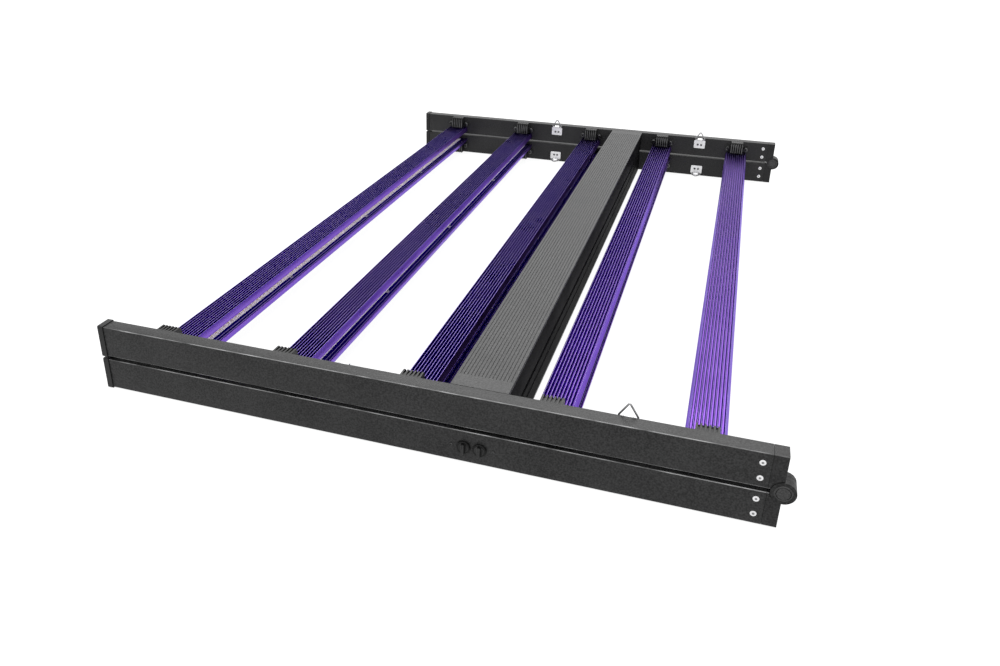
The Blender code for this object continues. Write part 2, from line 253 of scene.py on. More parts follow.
class Finish:
    """A procedural material, with nodes on its colour, roughness and bump."""

    def __init__(self, name, sockets=None):
        self.material = bpy.data.materials.new(name)
        self.material.use_nodes = True
        self.tree = self.material.node_tree
        self.shader = self.tree.nodes["Principled BSDF"]
        for socket, value in (sockets or {}).items():
            self.shader.inputs[socket].default_value = value
        self.place = self.tree.nodes.new("ShaderNodeTexCoord").outputs["Object"]

    def node(self, kind, inputs, **settings):
        made = self.tree.nodes.new("ShaderNode" + kind)
        for key, value in settings.items():
            setattr(made, key, value)
        for socket, value in inputs.items():
            if isinstance(value, bpy.types.NodeSocket):
                self.tree.links.new(value, made.inputs[socket])
            else:
                made.inputs[socket].default_value = value
        return made

    def noise(self, size, detail=2.0, stretch=(1, 1, 1)):
        """Noise with grains about size millimetres across, drawn out along the stretched axes."""
        scale = [1 / (size * MM * factor) for factor in stretch]
        mapped = self.node("Mapping", {"Vector": self.place, "Scale": scale}).outputs[0]
        return self.node("TexNoise", {"Vector": mapped, "Scale": 1.0, "Detail": detail}).outputs[0]

    def cells(self, size):
        """Distance to the nearest of scattered points about size millimetres apart."""
        scaled = self.node("TexVoronoi", {"Vector": self.place, "Scale": 1 / (size * MM)})
        return scaled.outputs[0]

    def ramp(self, value, stops):
        made = self.node("ValToRGB", {"Fac": value})
        points = made.color_ramp.elements
        for point, (at, colour) in zip((points[0], points[-1]), (stops[0], stops[-1])):
            point.position, point.color = at, (*colour, 1)
        for at, colour in stops[1:-1]:
            points.new(at).color = (*colour, 1)
        return made.outputs[0]

    def between(self, value, low, high, start=0.3, stop=0.7):
        """The value, which runs from start to stop, moved to the range low to high."""
        inputs = {"Value": value, "From Min": start, "From Max": stop, "To Min": low, "To Max": high}
        return self.node("MapRange", inputs).outputs[0]

    def mix(self, share, first, second):
        made = self.node("Mix", {0: share, 6: first, 7: second}, data_type="RGBA")
        return made.outputs[2]

    def bump(self, heights):
        """Chain of bumps, each a height socket and its depth in millimetres."""
        normal = None
        for height, depth in heights:
            inputs = {"Height": height, "Distance": depth * MM, "Strength": 1.0}
            if normal is not None:
                inputs["Normal"] = normal
            normal = self.node("Bump", inputs).outputs[0]
        self.tree.links.new(normal, self.shader.inputs["Normal"])

    def wire(self, colour, roughness):
        self.tree.links.new(colour, self.shader.inputs["Base Color"])
        self.tree.links.new(roughness, self.shader.inputs["Roughness"])
        return self.material


def grey(value):
    return (value, value, value * 1.01)


def painted(name, dark, light, rough=(0.40, 0.52), grain=0.03, gloss=COAT_GLOSS):
    """Powder-coated metal: fine orange peel, faint patches and pale specks."""
    f = Finish(name, {"Specular IOR Level": gloss})
    patches = f.noise(60, 3.0)
    fine = f.noise(1.7, 1.0)
    blend = f.node("Math", {0: f.between(patches, 0.0, 0.3), 1: f.between(fine, 0.0, 0.7)},
                   operation="ADD")
    base = f.ramp(blend.outputs[0], [(0.1, grey(dark)), (0.9, grey(light))])
    specks = f.between(f.cells(4.0), 0.5, 0.0, 0.02, 0.12)
    colour = f.mix(specks, base, (*grey(light * 2.4), 1))
    f.bump([(fine, grain), (f.noise(0.5, 1.0), grain * 0.5)])
    return f.wire(colour, f.between(patches, *rough))


def worn_and_highlit(name, dark, light, rough=(0.25, 0.45)):
    """Paint rubbed thin along an edge, in broken stretches, partly wear and partly a painted highlight.
    """
    f = Finish(name, {"Specular IOR Level": COAT_GLOSS})
    rub_and_highlight = f.noise(9, 4.0, (3, 3, 1))
    colour = f.ramp(rub_and_highlight, [(0.35, grey(dark)), (0.52, grey((dark + light) / 2)), (0.68, grey(light))])
    f.bump([(f.noise(0.8, 2.0), 0.02)])
    return f.wire(colour, f.between(rub_and_highlight, *reversed(rough)))


def moulded(name, dark, light, rough=(0.38, 0.5)):
    """Moulded plastic: a fine spark-eroded grain."""
    f = Finish(name, {"Specular IOR Level": COAT_GLOSS})
    patches = f.noise(14, 3.0)
    colour = f.ramp(patches, [(0.3, grey(dark)), (0.7, grey(light))])
    f.bump([(f.noise(0.45, 1.0), 0.02)])
    return f.wire(colour, f.between(patches, *rough))


def anodised(name, deep, bright, rough=(0.26, 0.36), grazing=PALE_GRAZING):
    """Anodised aluminium with die lines along the bar and slight bands of colour."""
    f = Finish(name, {"Metallic": 1.0, "Specular Tint": (*grazing, 1)})
    lines = f.noise(0.5, 2.0, (1, 900, 1))
    bands = f.noise(30, 2.0, (1, 8, 1))
    blend = f.node("Math", {0: f.between(lines, 0.0, 0.5), 1: f.between(bands, 0.0, 0.5)},
                   operation="ADD").outputs[0]
    colour = f.ramp(blend, [(0.0, deep), (1.0, bright)])
    f.bump([(lines, 0.012), (f.noise(0.9, 1.0), 0.004)])
    return f.wire(colour, f.between(f.noise(40, 3.0), *rough))


def plated(name, dark, light, rough=(0.2, 0.38), metallic=1.0):
    """Zinc-plated steel: soft crystalline patches and a fine brushed bump."""
    f = Finish(name, {"Metallic": metallic})
    patches = f.noise(5, 4.0)
    colour = f.ramp(patches, [(0.3, grey(dark)), (0.7, grey(light))])
    f.bump([(f.noise(0.35, 2.0, (6, 1, 1)), 0.008)])
    return f.wire(colour, f.between(patches, *rough))


def solder_mask(name, colour, shade, trace):
    """Circuit board: a glossy mask with the tracks showing faintly through it."""
    f = Finish(name)
    tracks = f.node("TexBrick", {
        "Vector": f.node("Mapping", {"Vector": f.place, "Rotation": (0, 0, pi / 2)}).outputs[0],
        "Color1": (*colour, 1), "Color2": (*shade, 1), "Mortar": (*trace, 1),
        "Scale": 1.0, "Mortar Size": 0.00025, "Brick Width": 0.009, "Row Height": 0.0036,
    })
    relief = f.node("RGBToBW", {"Color": tracks.outputs[0]}).outputs[0]
    f.bump([(relief, 0.03), (f.noise(0.6, 1.0), 0.01)])
    return f.wire(tracks.outputs[0], f.between(f.noise(8, 2.0), 0.32, 0.46))


def tinted(name, first, second, rough=(0.3, 0.45), size=1.2):
    """Small coloured parts: phosphor, chip housings."""
    f = Finish(name)
    cloud = f.noise(size, 2.0)
    f.bump([(f.noise(size / 4, 1.0), 0.01)])
    return f.wire(f.ramp(cloud, [(0.3, first), (0.7, second)]), f.between(cloud, *rough))


RAIL_PAINT = painted("powder_coat", 0.003, 0.026)
# Rail edges: paint rubbed thin, lightened further as a painted highlight along the rounded edge.
RAIL_EDGE = worn_and_highlit("powder_coat_edge_wear_and_highlight", 0.050, 0.300)
# Bracket rib ends: worn paint, lightened as a painted highlight.
RIB_EDGE = worn_and_highlit("powder_coat_rib_wear_and_highlight", 0.032, 0.090)
# Painted shade: near-black paint in the bracket grooves and on the ribs' sides.
RIB_SHADE = painted("powder_coat_painted_recess_shade", 0.001, 0.003, gloss=0.03)
CAP_PLASTIC = moulded("cap_plastic", 0.006, 0.012)
HINGE_PAINT = painted("hinge_satin_black", 0.003, 0.022, (0.38, 0.50), 0.03, 0.19)
PIN_PAINT = painted("pin_satin_black", 0.006, 0.034, (0.24, 0.34), 0.02, 0.40)
BAR_PURPLE = anodised("purple_anodising", (0.165, 0.085, 0.420), (0.230, 0.125, 0.530),
                      grazing=(0.60, 0.50, 0.95))
# Painted shade: a much darker purple on the fin flanks, the tips' sides and the board channel.
BAR_FLANK_SHADE = anodised("purple_anodising_painted_shade", (0.010, 0.001, 0.120), (0.018, 0.0015, 0.170),
                     grazing=SHADE_GRAZING)
# Painted shade: a darker purple on the groove floors and the ledges along the bar's sides.
BAR_FLOOR_SHADE = anodised("purple_anodising_painted_groove_shade", (0.100, 0.036, 0.240), (0.145, 0.060, 0.310))
# Painted highlight: a paler purple on the fin tops and the lips of the LED face.
BAR_TIP_HIGHLIGHT = anodised("purple_anodising_painted_highlight", (0.150, 0.110, 0.280), (0.210, 0.155, 0.365), (0.3, 0.42))
BOARD_MASK = solder_mask("white_solder_mask", (0.96, 0.89, 0.94), (0.92, 0.85, 0.90),
                         (0.84, 0.76, 0.82))
CHIP_BODY = tinted("chip_housing", (0.84, 0.80, 0.82), (0.90, 0.86, 0.88))
CHIP_PHOSPHOR = tinted("chip_phosphor", (0.80, 0.56, 0.09), (0.86, 0.63, 0.13))
CHIP_RED = tinted("chip_deep_red", (0.34, 0.06, 0.08), (0.40, 0.09, 0.11))
LID_PAINT = painted("driver_lid_coat", 0.008, 0.038, (0.38, 0.50))
CASE_PAINT = painted("driver_case_coat", 0.002, 0.009, (0.5, 0.6), gloss=0.01)
ZINC = plated("bright_zinc", 0.56, 0.76)
SCREW_STEEL = plated("screw_steel", 0.62, 0.78, (0.18, 0.32))
# Grey steel for the plate screws' heads, and painted shade in the hinge screws' sockets.
SOCKET_GREY = plated("screw_socket_shade_and_grey_steel", 0.10, 0.30, (0.3, 0.5))
# Painted shade: dark steel in the screw heads' sockets.
SOCKET_SHADE = plated("screw_socket_painted_shade", 0.02, 0.06, (0.4, 0.6))
BOLT_STEEL = plated("bolt_steel", 0.03, 0.12, (0.22, 0.4))
RING_STEEL = plated("ring_steel", 0.15, 0.36, (0.25, 0.4))
KNOB_PLASTIC = moulded("knob_plastic", 0.010, 0.024, (0.28, 0.4))
# Painted shade: near-black plastic round the knob's rim and on the grip's sides.
KNOB_SHADE = moulded("knob_plastic_painted_shade", 0.001, 0.002, (0.5, 0.6))
# Painted highlight: lighter, glossier plastic on the grip's front.
KNOB_HIGHLIGHT = moulded("knob_plastic_grip_highlight", 0.013, 0.032, (0.22, 0.34))
CIRCUIT = solder_mask("green_solder_mask", (0.006, 0.055, 0.020), (0.005, 0.045, 0.017),
                      (0.010, 0.080, 0.030))


# ---------------------------------------------------------------- shapes, in mm

def box(lo, hi):
    """Box between two corners."""
    bm = bmesh.new()
    bmesh.ops.create_cube(bm, size=1.0)
    for v in bm.verts:
        v.co = Vector([lo[i] if v.co[i] < 0 else hi[i] for i in range(3)])
    return bm


def rounded(lo, hi, radius, steps=4):
    """Outline of a rectangle with round corners: one radius, or four starting at high a, low b."""
    (a0, b0), (a1, b1) = lo, hi
    radii = radius if isinstance(radius, tuple) else (radius,) * 4
    outline = []
    for i, r in enumerate(radii):
        a = a1 - r if i < 2 else a0 + r
        b = b1 - r if i in (1, 2) else b0 + r
        for k in range(steps + 1):
            turn = pi / 2 * (i - 1 + k / steps)
            outline.append((a + r * cos(turn), b + r * sin(turn)))
    return outline


def circle(centre, radius, sides=48):
    """Outline of a circle."""
    return [(centre[0] + radius * cos(2 * pi * k / sides), centre[1] + radius * sin(2 * pi * k / sides))
            for k in range(sides)]


def loft(sections, axis):
    """Skin over outlines of equal length, each given with its place on the axis, with closed ends."""
    i = "xyz".index(axis)
    others = [k for k in range(3) if k != i]
    bm = bmesh.new()
    loops = []
    for at, outline in sections:
        loop = []
        for a, b in outline:
            co = [0.0, 0.0, 0.0]
            co[i], co[others[0]], co[others[1]] = at, a, b
            loop.append(bm.verts.new(co))
        loops.append(loop)
    for first, second in zip(loops, loops[1:]):
        for k in range(len(first)):
            n = (k + 1) % len(first)
            bm.faces.new((first[k], first[n], second[n], second[k]))
    bm.faces.new(loops[0])
    bm.faces.new(loops[-1])
    bmesh.ops.remove_doubles(bm, verts=bm.verts[:], dist=0.001)
    return bm


def prism(outline, axis, start, stop):
    """An outline drawn out along an axis."""
    return loft([(start, outline), (stop, outline)], axis)


def turned(profile, sides=48, shape=None):
    """Solid turned about z from (radius, height) steps; shape may bend a radius by its angle."""
    outlines = []
    for step, (radius, height) in enumerate(profile):
        turns = [2 * pi * k / sides for k in range(sides)]
        reach = [radius * (shape(step, t) if shape else 1) for t in turns]
        outlines.append((height, [(r * cos(t), r * sin(t)) for r, t in zip(reach, turns)]))
    return loft(outlines, "z")


def aimed(bm, direction, centre):
    """Turn a solid drawn up z to point along direction, and set it on centre."""
    turn = Vector(direction).to_track_quat("Z", "Y").to_matrix().to_4x4()
    bmesh.ops.transform(bm, matrix=Matrix.Translation(centre) @ turn, verts=bm.verts[:])
    return bm


def merged(shapes):
    """Several solids in one mesh, left apart."""
    out = bmesh.new()
    for shape in shapes:
        mesh = bpy.data.meshes.new("part")
        shape.to_mesh(mesh)
        shape.free()
        out.from_mesh(mesh)
        bpy.data.meshes.remove(mesh)
    return out


def sound(bm):
    """Faces turned outwards."""
    bmesh.ops.recalc_face_normals(bm, faces=bm.faces[:])
    if bm.calc_volume(signed=True) < 0:
        bmesh.ops.reverse_faces(bm, faces=bm.faces[:])
    return bm


def combine(base, add=(), cut=()):
    """Union and cut solids and return one."""
    made = []
    for shape in [base, *add, *cut]:
        mesh = bpy.data.meshes.new("tool")
        sound(shape).to_mesh(mesh)
        shape.free()
        made.append(bpy.data.objects.new("tool", mesh))
        bpy.context.scene.collection.objects.link(made[-1])
    target = made[0]
    for i, tool in enumerate(made[1:]):
        modifier = target.modifiers.new("join", "BOOLEAN")
        modifier.operation = "UNION" if i < len(add) else "DIFFERENCE"
        modifier.solver = "EXACT"
        modifier.object = tool
    result = target.evaluated_get(bpy.context.evaluated_depsgraph_get()).to_mesh()
    bm = bmesh.new()
    bm.from_mesh(result)
    bmesh.ops.dissolve_limit(bm, angle_limit=radians(0.05), verts=bm.verts[:], edges=bm.edges[:])
    for tool in made:
        bpy.data.objects.remove(tool, do_unlink=True)
    return bm


def shifted(bm, dx=0.0, dy=0.0, dz=0.0):
    out = bm.copy()
    bmesh.ops.translate(out, verts=out.verts[:], vec=(dx, dy, dz))
    return out


# ---------------------------------------------------------------- placing pieces

def row_point(point, side="upper", end="front"):
    """A point drawn for the upper front corner, mirrored to its own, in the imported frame."""
    x, y, z = point
    return ORIGIN + Vector((x, y if end == "front" else DEPTH - y, z if side == "upper" else -z)) * MM


def add(name, bm, finishes, body, slot, side="upper", end="front", nodes=(), bevel=0.0, steps=2,
        sharp=32):
    """Make a piece of a solid drawn for the upper front corner and hang it on its body."""
    for v in bm.verts:
        v.co = row_point(v.co, side, end)
    sound(bm)
    mesh = bpy.data.meshes.new(name)
    bm.to_mesh(mesh)
    bm.free()
    for finish in finishes:
        mesh.materials.append(finish)
    mesh.shade_smooth()
    ob = bpy.data.objects.new(name, mesh)
    bpy.context.scene.collection.objects.link(ob)
    if bevel:
        modifier = ob.modifiers.new("rounded_edges", "BEVEL")
        modifier.width = bevel * MM
        modifier.segments = steps
        modifier.limit_method = "ANGLE"
        modifier.angle_limit = radians(sharp)
        modifier.harden_normals = True
    else:
        mesh.set_sharp_from_angle(angle=radians(sharp))
    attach(ob, body)
    if nodes:
        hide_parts(*nodes)


def dress(node, finish):
    """Give a CAD node that stays its finish."""
    ob = frame["nodes"][node]
    ob.data.materials.clear()
    ob.data.materials.append(finish)


def screw(radius, height, socket, direction, centre, dome=0.75):
    """Round screw head with a hexagonal socket, whose faces take the second finish, a painted shade."""
    def hexagon(step, turn):
        return cos(pi / 6) / cos((turn % (pi / 3)) - pi / 6) if step >= 5 else 1.0

    profile = [(radius, -0.4), (radius, height * 0.35), (radius * 0.94, height * 0.7),
               (radius * dome, height * 0.96), (radius * 0.6, height), (socket, height),
               (socket, height * 0.25)]
    bm = turned(profile, SCREW_SIDES, hexagon)
    for face in bm.faces:
        inside = all(v.co.xy.length < socket * 1.01 for v in face.verts)
        if inside and face.calc_center_median().z > -0.3:
            face.material_index = 1
    return aimed(bm, direction, centre)


# ---------------------------------------------------------------- rails

def bracket():
    """Ribbed tongue with an ear on each side, standing on the rail's inner face, centred on x."""
    low, high = BRACKET_Z
    out = RAIL_T + BRACKET_OUT
    full = [(RAIL_T, low), (out, low), (out - RIB_LEAN, RIB_BEND_Z), (out - RIB_TOP[0], high),
            (out - RIB_TOP[1], high), (RAIL_T, high)]
    (start, drop), (stop, drop_back) = GROOVE_TOP
    cut = [(RAIL_T, low), (out - RIB_DEPTH, low), (out - RIB_LEAN - RIB_DEPTH, GROOVE_BEND_Z),
           (out - start, high - drop), (out - stop, high - drop_back), (RAIL_T, high - 0.02)]
    groove_w = (BRACKET_W - RIBS * RIB_W) / (RIBS - 1)
    sections = []
    x = -BRACKET_W / 2
    for i in range(RIBS):
        sections += [(x, full), (x + RIB_W, full)]
        x += RIB_W
        if i < RIBS - 1:
            sections += [(x, cut), (x + groove_w, cut)]
            x += groove_w
    tongue = loft(sections, "x")
    width, thick, top = EAR
    ears = prism(rounded((-width / 2, low), (width / 2, top), EAR_ROUND, 3), "y", RAIL_T, RAIL_T + thick)
    bm = combine(tongue, [ears])
    for face in bm.faces:
        face.material_index = bracket_finish(face, RIB_W + groove_w)
    return bm


def bracket_finish(face, pitch):
    """Painted shade in the grooves and on the ribs' sides, worn paint with a painted highlight along the
    ends of the ribs, plain elsewhere.
    """
    at = face.calc_center_median()
    if at.y < RAIL_T + EAR[1] + 0.5 or abs(at.x) > BRACKET_W / 2 - 0.1:
        return 0
    on_rib = (at.x + BRACKET_W / 2) % pitch < RIB_W - 0.01
    if abs(face.normal.x) > 0.5 or not on_rib:
        return 2 if at.y > RAIL_T + BRACKET_OUT - GROOVE_SHADE_DEPTH else 0
    return 1 if at.y > RAIL_T + BRACKET_OUT - RUB_AND_HIGHLIGHT and at.z < RIB_BEND_Z else 0


def rail(side, end):
    """Hollow tube with round corners; the two on its outer face take the edge finish, worn paint with a
    painted highlight.
    """
    w = RAIL_WALL
    outer = rounded((0, RAIL_UNDER), (RAIL_T, RAIL_HIGH.z), RAIL_RADII)
    inner = rounded((w, RAIL_UNDER + w), (RAIL_T - w, RAIL_HIGH.z - w), RAIL_ROUND)
    bm = bmesh.new()
    mouths = [[[bm.verts.new((x, a, b)) for a, b in loop] for loop in (outer, inner)]
              for x in (RAIL_LOW.x, RAIL_HIGH.x)]
    left, right = mouths
    for i in range(len(outer)):
        j = (i + 1) % len(outer)
        walls = [bm.faces.new((left[k][i], right[k][i], right[k][j], left[k][j])) for k in (0, 1)]
        in_corner = (i + 1) % (ARC_STEPS + 1) != 0
        if in_corner and i > 2 * ARC_STEPS:
            walls[0].material_index = 1
        for mouth in mouths:
            bm.faces.new((mouth[0][i], mouth[0][j], mouth[1][j], mouth[1][i]))
    if (side, end) == ("lower", "front"):
        holes = [prism(circle((knob_x(place), KNOB_Z), SHAFT_R + 0.5, SCREW_SIDES), "y", -1, RAIL_T / 2)
                 for place in PLACES]
        bm = combine(bm, cut=holes)
    add(f"{side}_{end}_tube", bm, [RAIL_PAINT, RAIL_EDGE], f"{side}_half", "powder_coat_black",
        side, end, [f"{side}_{end}_rail"], sharp=40)


def brackets(side, end, pattern):
    """A bracket for each bar, and the bolts through their ears."""
    for number, x in enumerate(BAR_X, 1):
        add(f"{side}_{end}_bracket_{number}", shifted(pattern, x), [RAIL_PAINT, RIB_EDGE, RIB_SHADE],
            f"{side}_half", "powder_coat_black", side, end, bevel=0.2)
    bolts = [screw(*BRACKET_BOLT, (0, 1, 0), (x + dx, RAIL_T + EAR[1], BOLT_Z))
             for x in BAR_X for dx in (-BOLT_X, BOLT_X)]
    add(f"{side}_{end}_bracket_bolts", merged(bolts), [BOLT_STEEL, SOCKET_SHADE],
        f"{side}_half", "zinc_steel", side, end)


def end_cap(side, end):
    """Plastic plug with a proud rim and a shallow panel in its outer face."""
    lo, hi = CAP_LOW, Vector((CAP_LIP, CAP_HIGH.y, CAP_HIGH.z))
    cap = prism(rounded((lo.y, lo.z), (hi.y, hi.z), CAP_ROUND), "x", 0, CAP_LIP)
    m = CAP_MARGIN
    panel = prism(rounded((lo.y + m, lo.z + m), (hi.y - m, hi.z - m), CAP_ROUND), "x", -1, CAP_PANEL)
    w = RAIL_WALL + CLEARANCE
    plug = prism(rounded((w, RAIL_UNDER + w), (RAIL_T - w, RAIL_HIGH.z - w), 1.0), "x",
                 CAP_LIP - 1, CAP_HIGH.x)
    add(f"{side}_{end}_cap", combine(cap, [plug], [panel]), [CAP_PLASTIC], f"{side}_half",
        "cap_plastic", side, end, [f"{side}_{end}_end_cap"], bevel=0.6, steps=3)


# ---------------------------------------------------------------- hinges

def knuckles(side, radius, gap=0.0):
    """Barrel slices of one half: the upper half has the two outer ones, the lower the middle one."""
    if side == "upper":
        out = 3 if gap else KNUCKLE_PROUD
        slices = [(-out, KNUCKLE + gap), (RAIL_T - KNUCKLE - gap, RAIL_T + out)]
    else:
        slices = [(KNUCKLE + CLEARANCE - gap, RAIL_T - KNUCKLE - CLEARANCE + gap)]
    return [prism(circle((HINGE_X, 0), radius, BARREL_SIDES), "y", a, b) for a, b in slices]


def hinge_leaf(side, end):
    """Block plugged into the rail, with its barrel slices set off by a fine groove."""
    w = RAIL_WALL + CLEARANCE
    outline = rounded((0, RAIL_UNDER), (RAIL_T, RAIL_HIGH.z), RAIL_RADII)
    block = prism(outline, "x", RAIL_HIGH.x + RAIL_SEAM, HINGE_X - CLEARANCE)
    plug = box((LEAF_LOW.x, w, RAIL_UNDER + w), (RAIL_HIGH.x + 2, RAIL_T - w, RAIL_HIGH.z - w))
    other = "lower" if side == "upper" else "upper"
    grooves = []
    if side == "upper":
        for start, stop in ((-2, BARREL_GROOVE), (RAIL_T - BARREL_GROOVE, RAIL_T + 2)):
            disc = prism(circle((HINGE_X, 0), BARREL_R + SEAM, BARREL_SIDES), "y", start, stop)
            hole = prism(circle((HINGE_X, 0), BARREL_R, BARREL_SIDES), "y", start - 1, stop + 1)
            grooves.append(combine(disc, cut=[hole]))
    leaf = combine(combine(block, [plug, *knuckles(side, BARREL_R)]),
                   cut=[*knuckles(other, BARREL_R + SEAM, 0.15), *grooves,
                        prism(circle((HINGE_X, 0), PIN_R + 0.2), "y", -2, RAIL_T + 2)])
    # The front's outer corners take the edge finish: worn paint with a painted highlight.
    for face in leaf.faces:
        at = face.calc_center_median()
        outer = at.y < RAIL_ROUND and HINGE_X - at.x > 1
        if outer and not RAIL_UNDER + RAIL_ROUND < at.z < RAIL_HIGH.z - RAIL_ROUND:
            face.material_index = 1
    add(f"{side}_{end}_hinge_block", leaf, [HINGE_PAINT, RAIL_EDGE], f"{side}_half", "hinge_black",
        side, end, [f"{side}_{end}_hinge_leaf"], sharp=40)
    spots = [(HINGE_SCREW_X, y, z, way) for y, way in ((0, -1), (RAIL_T, 1)) for z in HINGE_SCREW_Z]
    screws = [screw(*HINGE_SCREW, (0, way, 0), (x, y, z), dome=0.86) for x, y, z, way in spots]
    add(f"{side}_{end}_hinge_screws", merged(screws), [SCREW_STEEL, SOCKET_GREY],
        f"{side}_half", "zinc_steel", side, end)


def hinge_pin(end):
    """Shaft with a flat domed head at each end, a ring turned into each head."""
    head = PIN_HIGH.y - RAIL_T
    middle = RAIL_T / 2
    start, bottom, stop = PIN_RING
    half = [(PIN_R, 0.0), (PIN_R, middle + 0.25), (PIN_HEAD_R, middle + 0.3),
            (PIN_HEAD_R, middle + head * 0.6), (PIN_HEAD_R - 0.5, middle + head),
            (PIN_HEAD_R - start, middle + head), (PIN_HEAD_R - bottom, middle + head * 0.55),
            (PIN_HEAD_R - stop, middle + head)]
    profile = [(r, -h) for r, h in reversed(half)] + half[1:]
    add(f"{end}_pin", aimed(turned(profile, DISC_SIDES), (0, 1, 0), (HINGE_X, middle, 0)),
        [PIN_PAINT], "lower_half", "hinge_black", "lower", end, [f"{end}_hinge_pin"])


# ---------------------------------------------------------------- bars

def arc(centre, radius, start, stop, steps=3):
    """Points round an arc, from one angle to another in degrees."""
    turns = [radians(start + (stop - start) * k / steps) for k in range(steps + 1)]
    return [(centre[0] + radius * cos(t), centre[1] + radius * sin(t)) for t in turns]


def bar_half():
    """Right half of a bar's section, from the middle of the LED face round to the middle fin gap."""
    face, top = BAR_LOW.z, BAR_HIGH.z
    half = (BAR_HIGH.x - BAR_LOW.x) / 2
    lips = [arc((x, face + LIP_R), LIP_R, 190, 350) for x in LIP_X]
    groove_z = CHANNEL_Z - 0.2
    points = [(CHANNEL_HALF, CHANNEL_Z), *lips[0], (SIDE_GROOVE[0], groove_z),
              (SIDE_GROOVE[1], groove_z), *lips[1], (LIP_END, face + 0.9),
              *arc((half - CORNER_R, face + 1.1), CORNER_R, 270, 360),
              *arc((half - 0.5, face + 1.9), 0.5, 0, 60, 2)]
    pitch = 2 * (TOP_HALF - FIN_TIP) / (FINS - 1)
    fillet, rise = FIN_FILLET
    for i in reversed(range(FINS // 2)):
        x = pitch * (i + 0.5)
        if i < FINS // 2 - 1:
            points += [(x + FIN_ROOT + fillet, FIN_ROOT_Z), (x + FIN_ROOT, FIN_ROOT_Z + rise)]
        points += arc((x, top - FIN_TIP), FIN_TIP, 0, 180, 8)
        points += [(x - FIN_ROOT, FIN_ROOT_Z + rise), (x - FIN_ROOT - fillet, FIN_ROOT_Z)]
    return points


def bar_finish(face):
    """Main finish, painted shade (flanks, tips' sides, board channel), painted highlight (fin tops, LED
    face lips) or painted groove shade (groove floors, side ledges) for a face of the bar, by where it
    lies in the section.
    """
    at = face.calc_center_median()
    faces_up = face.normal.z > 0.9
    on_led_face = abs(at.x) < LED_HALF
    among_fins = at.z > FIN_ROOT_Z - 0.1 and abs(at.x) < TOP_HALF - FIN_TIP
    if abs(face.normal.y) > 0.9:
        return 0
    if among_fins and at.z < BAR_HIGH.z - FIN_TIP:
        return 3 if faces_up else 1
    if at.z > BAR_HIGH.z - FIN_TIP:
        return 2 if faces_up else 1
    if abs(face.normal.z) > 0.5 and abs(at.x) > LED_HALF:
        return 3
    if BOARD_LOW.z + 0.1 < at.z < CHANNEL_Z + 0.1 and on_led_face:
        return 1
    return 2 if at.z < BOARD_LOW.z + 0.1 and on_led_face else 0


def led_bars(side):
    """Five finned extrusions, each with its LED board, chips and screws."""
    right = bar_half()
    outline = right + [(-x, z) for x, z in reversed(right)]
    bar = sound(prism(outline, "y", BAR_LOW.y, BAR_HIGH.y))
    for face in bar.faces:
        face.material_index = bar_finish(face)
    board, chips, screws = led_board()
    body = f"{side}_half"
    for number, x in enumerate(BAR_X, 1):
        name = f"{side}_bar_{number}"
        add(f"{name}_extrusion", shifted(bar, x), [BAR_PURPLE, BAR_FLANK_SHADE, BAR_TIP_HIGHLIGHT, BAR_FLOOR_SHADE], body,
            "purple_anodised", side, nodes=[name])
        add(f"{name}_board", shifted(board, x), [BOARD_MASK], body, "led_strip", side,
            nodes=[f"{side}_led_strip_{number}"])
        add(f"{name}_chips", shifted(chips, x), [CHIP_BODY, CHIP_PHOSPHOR, CHIP_RED], body, "led_strip",
            side)
        add(f"{name}_board_screws", shifted(screws, x), [SCREW_STEEL, SOCKET_SHADE], body, "zinc_steel",
            side)


def led_chip(bm, x, y, lens):
    """A square housing standing down from the board, with its lens set into the face."""
    z = BOARD_LOW.z
    levels = [(CHIP / 2, z), (CHIP / 2, z - 0.4), (CHIP / 2 - 0.15, z - CHIP_H),
              (CHIP / 2 - 0.35, z - CHIP_H), (CHIP / 2 - 0.4, z - 0.5)]
    loops = [[bm.verts.new((x + a * r, y + b * r, h)) for a, b in ((-1, -1), (1, -1), (1, 1), (-1, 1))]
             for r, h in levels]
    for first, second in zip(loops, loops[1:]):
        for k in range(4):
            bm.faces.new((first[k], first[(k + 1) % 4], second[(k + 1) % 4], second[k]))
    bm.faces.new(loops[0])
    bm.faces.new(loops[-1]).material_index = lens


def led_board():
    """Circuit board, its two rows of chips and the screws beside it, for a bar centred on x 0."""
    lo, hi = BOARD_LOW, BOARD_HIGH
    half = (hi.x - lo.x) / 2
    middle = (lo.y + hi.y) / 2
    spots = [middle + BOARD_SCREW_GAP * k for k in (-1, 0, 1)]
    edge = [(half, lo.y)]
    for y in spots:
        edge += [(half - a, b) for a, b in arc((0, y), BOARD_NOTCH_R, -90, 90, 6)]
    edge.append((half, hi.y))
    board = prism(edge + [(-a, b) for a, b in reversed(edge)], "z", lo.z, hi.z)
    chips = bmesh.new()
    count = floor((hi.y - lo.y - BOARD_BARE) / CHIP_PITCH)
    for i in range(count):
        y = middle + (i - (count - 1) / 2) * CHIP_PITCH
        for row, x in enumerate((-CHIP_ROW, CHIP_ROW)):
            red = (i + RED_EVERY // 2 * row) % RED_EVERY == 0
            led_chip(chips, x, y + row * CHIP_PITCH / 2 - CHIP_PITCH / 4, 2 if red else 1)
    screws = [screw(*BOARD_SCREW, (0, 0, -1), (x, y, CHANNEL_Z))
              for y in spots for x in (-BOARD_SCREW_X, BOARD_SCREW_X)]
    return board, chips, merged(screws)


# ---------------------------------------------------------------- drivers and dimmer

